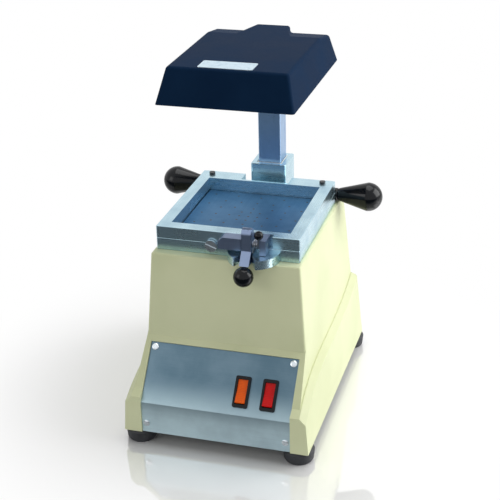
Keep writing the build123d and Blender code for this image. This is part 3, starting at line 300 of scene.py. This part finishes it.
def mattPaint(name, colour, pale, roughness=0.5, look=paintLook):
    # satin paint with orange peel and slight wear
    f = Finish(name)
    point = f.place()
    peel = f.noise(point, look["peel"], 3)
    wear = f.ramp(f.noise(point, look["wear"], 6, 0.7), *look["wearEdge"])
    return f.shell(Base_Color=f.blend(wear * 0.6, colour, pale), Roughness=roughness + peel * 0.12,
                   Normal=f.bump(peel, 0.3, look["peelDepth"]))


ceramicLook = {"colour": rgb(0.78, 0.75, 0.69), "scorched": rgb(0.55, 0.46, 0.36),
               "roughness": 0.75, "pits": 700, "pitDepth": 0.0001, "scorch": 40,
               "scorchEdge": (0.45, 0.8)}


def ceramicFinish(look=ceramicLook):
    # unglazed ceramic: fine pits and faint scorching
    f = Finish("ceramic")
    point = f.place()
    pits = f.noise(point, look["pits"], 4, 0.7)
    scorch = f.ramp(f.noise(point, look["scorch"], 4), *look["scorchEdge"])
    return f.shell(Base_Color=f.blend(scorch * 0.5, look["colour"], look["scorched"]),
                   Roughness=look["roughness"] + pits * 0.15,
                   Normal=f.bump(pits, 0.5, look["pitDepth"]))


nylonLook = {"colour": rgb(0.80, 0.80, 0.74), "shade": rgb(0.68, 0.68, 0.60), "roughness": 0.42,
             "rings": (300, 300, 1500), "ringDepth": 0.00006, "clouds": 50}


def nylonFinish(look=nylonLook):
    # turned natural nylon
    f = Finish("nylon")
    rings = f.noise(f.place(look["rings"]), 1, 2)
    clouds = f.noise(f.place(), look["clouds"], 3)
    return f.shell(Base_Color=f.blend(clouds * 0.4, look["colour"], look["shade"]),
                   Roughness=look["roughness"] + rings * 0.12,
                   Normal=f.bump(rings, 0.3, look["ringDepth"]))


blankLook = {"colour": rgb(0.55, 0.68, 0.76), "rubbedColour": rgb(0.30, 0.42, 0.52),
             "metal": 0.55, "roughness": 0.30, "lines": (9, 1300, 1300), "lineDepth": 0.00003,
             "patches": 120, "patchEdge": (0.45, 0.7)}


def blankPlate(look=blankLook):
    # bare silvered plate: brushed ground with rubbed patches
    f = Finish("blankPlate")
    streaks = f.noise(f.place(look["lines"]), 1, 2)
    rubbed = f.ramp(f.noise(f.place(), look["patches"], 5, 0.7), *look["patchEdge"])
    return f.shell(Base_Color=f.blend(rubbed * 0.7, look["colour"], look["rubbedColour"]),
                   Metallic=look["metal"],
                   Roughness=look["roughness"] + streaks * 0.2 + rubbed * 0.1,
                   Normal=f.bump(streaks, 0.3, look["lineDepth"]))


finishes = {
    "housing": housingFinish(),
    "console_metal": panelFinish(),
    "sheet_steel": mattPaint("sheetSteel", rgb(0.10, 0.11, 0.12), rgb(0.22, 0.23, 0.24)),
    "foot_rubber": plainRubber("footRubber", rgb(0.012, 0.014, 0.018), rgb(0.05, 0.055, 0.06)),
    "gasket_rubber": plainRubber("gasketRubber", rgb(0.02, 0.02, 0.022), rgb(0.07, 0.07, 0.07)),
    "screw_steel": brushed("screwSteel", rgb(0.72, 0.78, 0.82), rgb(0.50, 0.56, 0.62), "x", 0.18),
    "black_screw": mattPaint("blackScrew", rgb(0.010, 0.011, 0.014), rgb(0.05, 0.05, 0.06), 0.3),
    "black_plastic": glossBlack(),
    "orange_lens": lensPlastic("orangeLens", rgb(0.80, 0.115, 0.004), rgb(0.56, 0.060, 0.003)),
    "red_lens": lensPlastic("redLens", rgb(0.60, 0.003, 0.003), rgb(0.34, 0.001, 0.002)),
    "frame_aluminium": brushed("frameAluminium", rgb(0.58, 0.78, 0.86), rgb(0.16, 0.30, 0.42),
                               "frame", 0.18),
    "plate_aluminium": brushed("plateAluminium", rgb(0.060, 0.185, 0.35), rgb(0.028, 0.095, 0.20),
                               "y", 0.30),
    "post_aluminium": brushed("postAluminium", rgb(0.36, 0.52, 0.74), rgb(0.14, 0.25, 0.44),
                              "z", 0.22),
    "rod_steel": brushed("rodSteel", rgb(0.62, 0.68, 0.72), rgb(0.42, 0.48, 0.54), "x", 0.22),
    "latch_steel": brushed("latchSteel", rgb(0.26, 0.33, 0.48), rgb(0.15, 0.20, 0.32), "z", 0.28),
    "spring_steel": brushed("springSteel", rgb(0.35, 0.37, 0.40), rgb(0.20, 0.21, 0.24),
                            "z", 0.28),
    "bearing_plastic": nylonFinish(),
    "hood_paint": hoodPaint(),
    "bare_label": blankPlate(),
    "reflector": brushed("reflectorMetal", rgb(0.74, 0.75, 0.76), rgb(0.56, 0.56, 0.56),
                         "x", 0.16),
    "ceramic": ceramicFinish(),
    "element_steel": brushed("elementSteel", rgb(0.13, 0.10, 0.09), rgb(0.06, 0.05, 0.05),
                             "x", 0.45),
    "motor_paint": mattPaint("motorPaint", rgb(0.05, 0.055, 0.06), rgb(0.12, 0.12, 0.13)),
    "motor_steel": brushed("motorSteel", rgb(0.42, 0.43, 0.45), rgb(0.26, 0.27, 0.29), "z", 0.32),
}

slotOf = {part["node"]: part["material_slot"] for part in frame["record"]["subparts"]}
for name, piece in nodes.items():
    piece.data.materials.clear()
    piece.data.materials.append(finishes[slotOf[name]])
print("finishes on", len(nodes), "nodes")


# the perforated plate: its holes stand on squares round its middle, as dark plugs a hair proud
# that paint the shade inside each hole;
# each ring has half its width and the number of steps from its middle to a corner

plateLook = {"half": 0.0625, "low": 0.208, "high": 0.210, "hole": 0.0012, "sides": 20,
             "sink": 0.0004, "proud": 0.00002, "rings": {0.010: 1, 0.021: 1, 0.036: 2, 0.052: 2},
             "ringEdge": 0.999}


def prisms(name, outlines, low, high, material):
    # closed prisms over outlines that run anticlockwise as seen from above
    points, faces = [], []
    for outline in outlines:
        first, count = len(points), len(outline)
        points += [(x, y, z) for z in (low, high) for x, y in outline]
        faces.append([first + k for k in reversed(range(count))])
        faces.append([first + count + k for k in range(count)])
        for k in range(count):
            here, there = first + k, first + (k + 1) % count
            faces.append([here, there, there + count, here + count])
    return meshPiece(name, points, faces, material)


half, radius, surface = plateLook["half"], plateLook["hole"], plateLook["high"]
square = [(-half, -half), (half, -half), (half, half), (-half, half)]
plate = prisms("plateTop", [square], plateLook["low"], surface, finishes["plate_aluminium"])
holes = [(0.0, 0.0)]
for reach, steps in plateLook["rings"].items():
    line = [reach * step / steps for step in range(-steps, steps + 1)]
    edge = reach * plateLook["ringEdge"]
    holes += [(x, y) for x in line for y in line if max(abs(x), abs(y)) > edge]
turns = np.linspace(0, 2 * math.pi, plateLook["sides"], endpoint=False)
rims = [[(x + radius * math.cos(t), y + radius * math.sin(t)) for t in turns] for x, y in holes]
# painted shade: dark plugs stand for the shade inside each hole of the plate
holeShadePlugs = prisms("plateHoleShade", rims, surface - plateLook["sink"], surface + plateLook["proud"],
               finishes["black_screw"])
for piece in (plate, holeShadePlugs):
    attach(piece, "base")
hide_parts("perforated_plate")
print("plate made with", len(holes), "holes")


# the hood: its flat top runs on rearwards over the post and narrows, without a step

hoodLook = {"half": 0.0707, "topHalf": 0.0621, "front": -0.0747, "topFront": -0.0607,
            "topRear": 0.070, "bevelY": 0.106, "bevelDrop": 0.006, "rear": 0.1155,
            "bottom": 0.3536, "top": 0.3892, "wall": 0.0016, "edge": 0.003, "edgeSteps": 4,
            "edgeAngle": 12, "riseFront": 0.060, "riseFrontHalf": 0.0315, "riseRear": 0.113,
            "riseRearHalf": 0.018, "below": 0.012, "trimHalf": 0.2, "trimDepth": 0.1,
            "stock": 2.0, "snap": 1e-7}


def walls(outline, first, second):
    # cutting planes through the sides of a convex outline drawn on two of the three axes
    points = [np.array(point) for point in outline]
    middle = sum(points) / len(points)
    planes = []
    for start, end in zip(points, points[1:] + points[:1]):
        outward = np.array([end[1] - start[1], start[0] - end[0]])
        if outward @ (start - middle) < 0:
            outward = -outward
        place, normal = Vector(), Vector()
        place[first], place[second] = start
        normal[first], normal[second] = outward
        planes.append((place, normal.normalized()))
    return planes


def convexPiece(name, planes, look=hoodLook):
    # what is left of a cube inside all the planes
    shape = bmesh.new()
    bmesh.ops.create_cube(shape, size=look["stock"])
    for place, normal in planes:
        everything = shape.verts[:] + shape.edges[:] + shape.faces[:]
        cut = bmesh.ops.bisect_plane(shape, geom=everything, dist=look["snap"], plane_co=place,
                                     plane_no=normal, clear_outer=True)["geom_cut"]
        rim = [part for part in cut if isinstance(part, bmesh.types.BMEdge)]
        if rim:
            bmesh.ops.contextual_create(shape, geom=rim)
    bmesh.ops.recalc_face_normals(shape, faces=shape.faces)
    mesh = bpy.data.meshes.new(name)
    shape.to_mesh(mesh)
    shape.free()
    return linked(name, mesh)


def hoodForms(name, inset, low, look=hoodLook):
    # the low pyramid and the rise over the post, with their faces moved in by the inset
    top, rear = look["top"] - inset, look["rear"] - inset
    lean = (look["rear"] - look["bevelY"]) / (look["top"] - look["bevelDrop"] - look["bottom"])
    slope = (look["topFront"] - look["front"]) / (look["top"] - look["bottom"])
    draw = (look["half"] - look["topHalf"]) / (look["top"] - look["bottom"])
    back = (look["rear"] - look["riseRear"]) / (look["top"] - look["bottom"])
    reach = look["bottom"] - low
    side = [(look["front"] + inset - slope * reach, low), (look["topFront"] + inset, top),
            (look["topRear"], top), (look["bevelY"] - inset, top - look["bevelDrop"]),
            (rear + lean * reach, low)]
    wide, narrow = look["half"] - inset + draw * reach, look["topHalf"] - inset
    across = [(-wide, low), (-narrow, top), (narrow, top), (wide, low)]
    riseSide = [(look["riseFront"], low), (look["riseFront"], top),
                (look["riseRear"] - inset, top), (rear + back * reach, low)]
    start, end = look["riseFrontHalf"] - inset, look["riseRearHalf"] - inset
    plan = [(-start, look["riseFront"]), (-end, look["rear"]), (end, look["rear"]),
            (start, look["riseFront"])]
    flanks = walls(plan, 0, 1)[::2]
    return (convexPiece(name, walls(side, 1, 2) + walls(across, 0, 2)),
            convexPiece(name + "Rise", walls(riseSide, 1, 2) + flanks))


def cutWith(piece, tool, operation):
    step = piece.modifiers.new(tool.name, "BOOLEAN")
    step.object, step.operation, step.solver = tool, operation, "EXACT"


bottom, below = hoodLook["bottom"], hoodLook["below"]
outer, outerRise = hoodForms("hoodOuter", 0, bottom - below)
inner, innerRise = hoodForms("hoodInner", hoodLook["wall"], bottom - 2 * below)

# a slab that takes off what reaches below the rim
wide, base, roof = hoodLook["trimHalf"], bottom - hoodLook["trimDepth"], hoodLook["stock"] / 2
trimFront = [(-wide, base), (-wide, bottom), (wide, bottom), (wide, base)]
trimSide = [(-wide, 0), (-wide, roof), (wide, roof), (wide, 0)]
lowerCut = convexPiece("hoodTrim", walls(trimFront, 0, 2) + walls(trimSide, 1, 2))

cutWith(outer, outerRise, "UNION")
rounding = outer.modifiers.new("edges", "BEVEL")
rounding.width, rounding.segments = hoodLook["edge"], hoodLook["edgeSteps"]
rounding.limit_method, rounding.angle_limit = "ANGLE", math.radians(hoodLook["edgeAngle"])
for tool in (inner, innerRise, lowerCut):
    cutWith(outer, tool, "DIFFERENCE")
bpy.context.view_layer.update()
evaluated = outer.evaluated_get(bpy.context.evaluated_depsgraph_get())
made = bpy.data.meshes.new_from_object(evaluated)
made.materials.clear()
made.materials.append(finishes["hood_paint"])
hood = linked("hoodShell", made)
for helper in (outer, outerRise, inner, innerRise, lowerCut):
    bpy.data.objects.remove(helper)
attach(hood, "head")
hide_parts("hood")

count = bmesh.new()
count.from_mesh(made)
openEdges = sum(1 for edge in count.edges if not edge.is_manifold)
print("hood made,", len(made.polygons), "faces,", openEdges, "open edges, volume in cm3",
      round(count.calc_volume() * 1e6, 1))
count.free()


# floor, lamps and camera

floorLook = {"half": 5.0, "lines": 9, "colour": rgb(0.95, 0.95, 0.95), "roughness": 0.5,
             "mirror": 0.34, "mirrorRoughness": 0.03, "fadeEdge": (0.16, 0.36),
             "plain": rgb(1, 1, 1), "plainStrength": 1.0, "darkShare": 0.95,
             "darkColour": rgb(0.7, 0.85, 1), "darkStrength": 0.06, "darkEdge": (0.08, 0.26)}


def floorFinish(look=floorLook):
    # white with a clear reflection near the object, and plain white further away
    f = Finish("floorWhite")
    path = f.add("ShaderNodeLightPath", output="Is Camera Ray")
    seen = (path + path.beside("Is Transmission Ray")) > 0.5
    distance = f.add("ShaderNodeVectorMath", {"operation": "LENGTH"}, {0: f.place()}, "Value")
    far = f.ramp(distance, *look["fadeEdge"])
    matt = f.add("ShaderNodeBsdfPrincipled",
                 inputs={"Base Color": look["colour"], "Roughness": look["roughness"]})
    gloss = f.add("ShaderNodeBsdfPrincipled",
                  inputs={"Base Color": look["colour"], "Metallic": 1.0,
                          "Roughness": look["mirrorRoughness"]})
    near = f.add("ShaderNodeMixShader", inputs={0: look["mirror"], 1: matt, 2: gloss})
    plain = f.add("ShaderNodeEmission",
                  inputs={"Color": look["plain"], "Strength": look["plainStrength"]})
    mixed = f.add("ShaderNodeMixShader", inputs={0: far * seen, 1: near, 2: plain})
    # the metal's front faces reflect a dark room, so the floor in front is dim for glossy rays
    front = f.ramp(0 - f.axes()[1], *look["darkEdge"])
    dark = f.add("ShaderNodeEmission",
                 inputs={"Color": look["darkColour"], "Strength": look["darkStrength"]})
    share = path.beside("Is Glossy Ray") * front * look["darkShare"]
    return f.close(f.add("ShaderNodeMixShader", inputs={0: share, 1: mixed, 2: dark}))


lines = floorLook["lines"]
line = np.linspace(-floorLook["half"], floorLook["half"], lines).tolist()
corners = [row * lines + column for row in range(lines - 1) for column in range(lines - 1)]
floor = meshPiece("floor", [(x, y, 0.0) for x in line for y in line],
                  [[k, k + lines, k + lines + 1, k + 1] for k in corners], floorFinish())

# the room: dim as a light, white where a ray sees it directly, in glass or in a reflection
worldLook = {"light": 0.30, "seen": 1.0, "colour": rgb(1, 1, 1)}
room = Finish("studio", "worlds")
path = room.add("ShaderNodeLightPath", output="Is Camera Ray")
direct = room.maths("MAXIMUM", path, path.beside("Is Transmission Ray"))
seen = room.maths("MAXIMUM", direct, path.beside("Is Glossy Ray"))
strength = room.add("ShaderNodeMapRange",
                    inputs={0: seen, 3: worldLook["light"], 4: worldLook["seen"]})
background = room.add("ShaderNodeBackground",
                      inputs={"Color": worldLook["colour"], "Strength": strength})
bpy.context.scene.world = room.close(background, "ShaderNodeOutputWorld")

lamps = {
    "softboxRight": {"place": (1.25, 0.35, 0.8), "aim": (0.15, 0.15, 0.1), "size": 1.1,
                     "power": 18},
    "softboxTop": {"place": (0.15, 0.35, 1.7), "aim": (0, 0, 0.1), "size": 1.2, "power": 12},
    "softboxLeft": {"place": (-1.3, -1.2, 0.9), "aim": (0, 0, 0.2), "size": 0.9, "power": 5},
}
for name, lamp in lamps.items():
    light = bpy.data.lights.new(name, "AREA")
    light.size, light.energy = lamp["size"], lamp["power"]
    holder = linked(name, light)
    holder.location = lamp["place"]
    holder.visible_camera = False
    toward = Vector(lamp["aim"]) - Vector(lamp["place"])
    holder.rotation_euler = toward.to_track_quat("-Z", "Y").to_euler()

# the camera: place in metres, angles in degrees, focal length in pixels of a 500 pixel wide image
view = {"place": (0.35238, -1.16166, 0.73677), "yaw": 16.823, "pitch": -25.005, "roll": -1.407,
        "focal": 1241.3, "imageWidth": 500, "sensor": 36.0}
yaw, pitch, roll = (math.radians(view[key]) for key in ("yaw", "pitch", "roll"))
forward = Vector((-math.sin(yaw) * math.cos(pitch), math.cos(yaw) * math.cos(pitch),
                  math.sin(pitch)))
level = forward.cross(Vector((0, 0, 1))).normalized()
upward = level.cross(forward)
right = level * math.cos(roll) + upward * math.sin(roll)
top = upward * math.cos(roll) - level * math.sin(roll)
lens = bpy.data.cameras.new("camera")
lens.sensor_width = view["sensor"]
lens.lens = view["focal"] / view["imageWidth"] * view["sensor"]
camera = linked("camera", lens)
turned = Matrix((right, top, -forward)).transposed().to_4x4()
camera.matrix_world = Matrix.Translation(view["place"]) @ turned
bpy.context.scene.camera = camera
bpy.context.scene.view_settings.view_transform = "Standard"
print("floor, lamps and camera placed")
